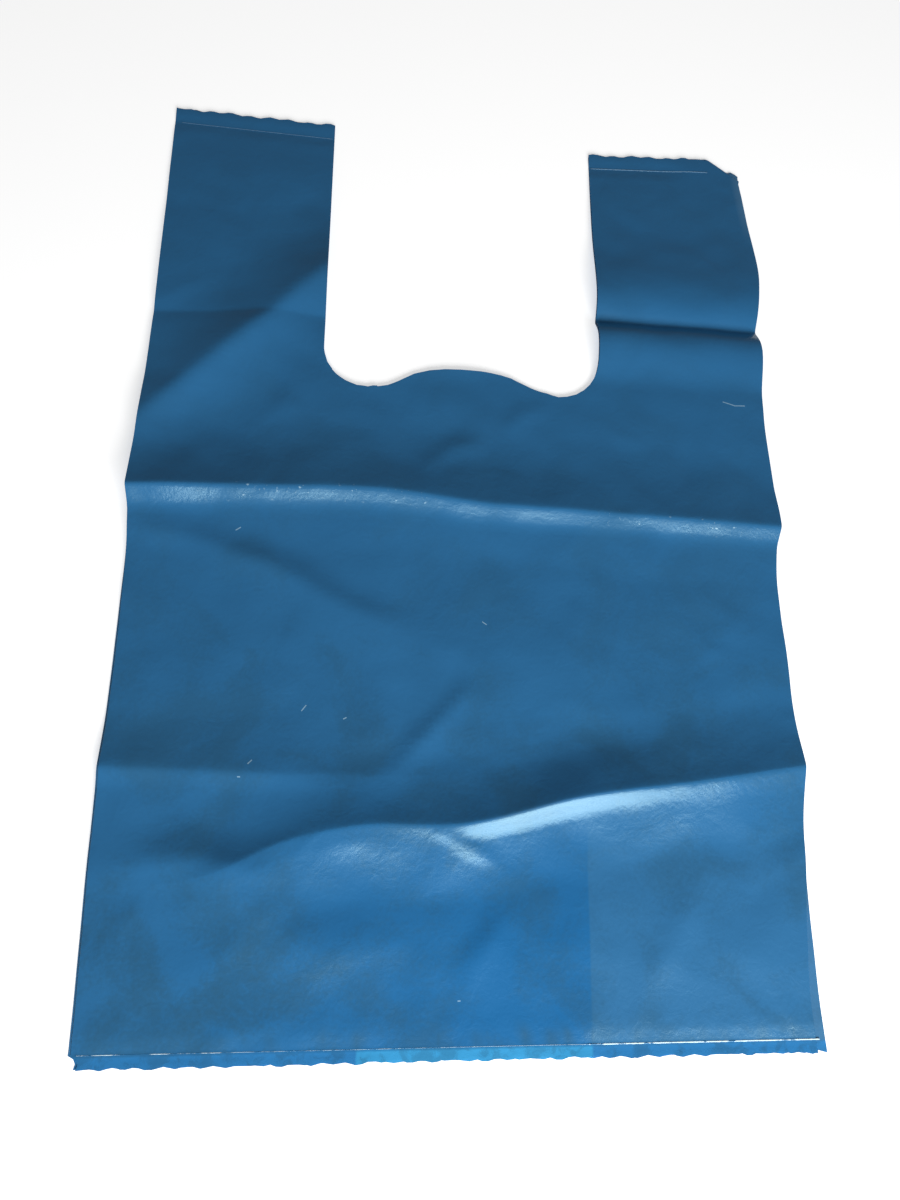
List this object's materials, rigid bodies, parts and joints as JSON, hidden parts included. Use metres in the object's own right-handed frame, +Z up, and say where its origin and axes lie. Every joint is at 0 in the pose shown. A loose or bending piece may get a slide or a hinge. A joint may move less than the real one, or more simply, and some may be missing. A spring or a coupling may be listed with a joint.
{
  "type": "plastic carrier bag",
  "caption": "Empty vest-type carrier bag of thin blue film with side gussets, lying flat, its mouth cut out between the handles.",
  "frame": {"origin": "under the middle of the bag's bounding box, on the surface that it lies on", "axes": "+X across the bag, +Y along it towards the tops of the handles, +Z up out of the front"},
  "size_m": [0.3, 0.4399, 0.0125],
  "materials": {
    "blue_film": "thin translucent blue film with a soft waxy gloss"
  },
  "bodies": {
    "root": {"carrier_bag": "blue_film"}
  },
  "joints": []
}
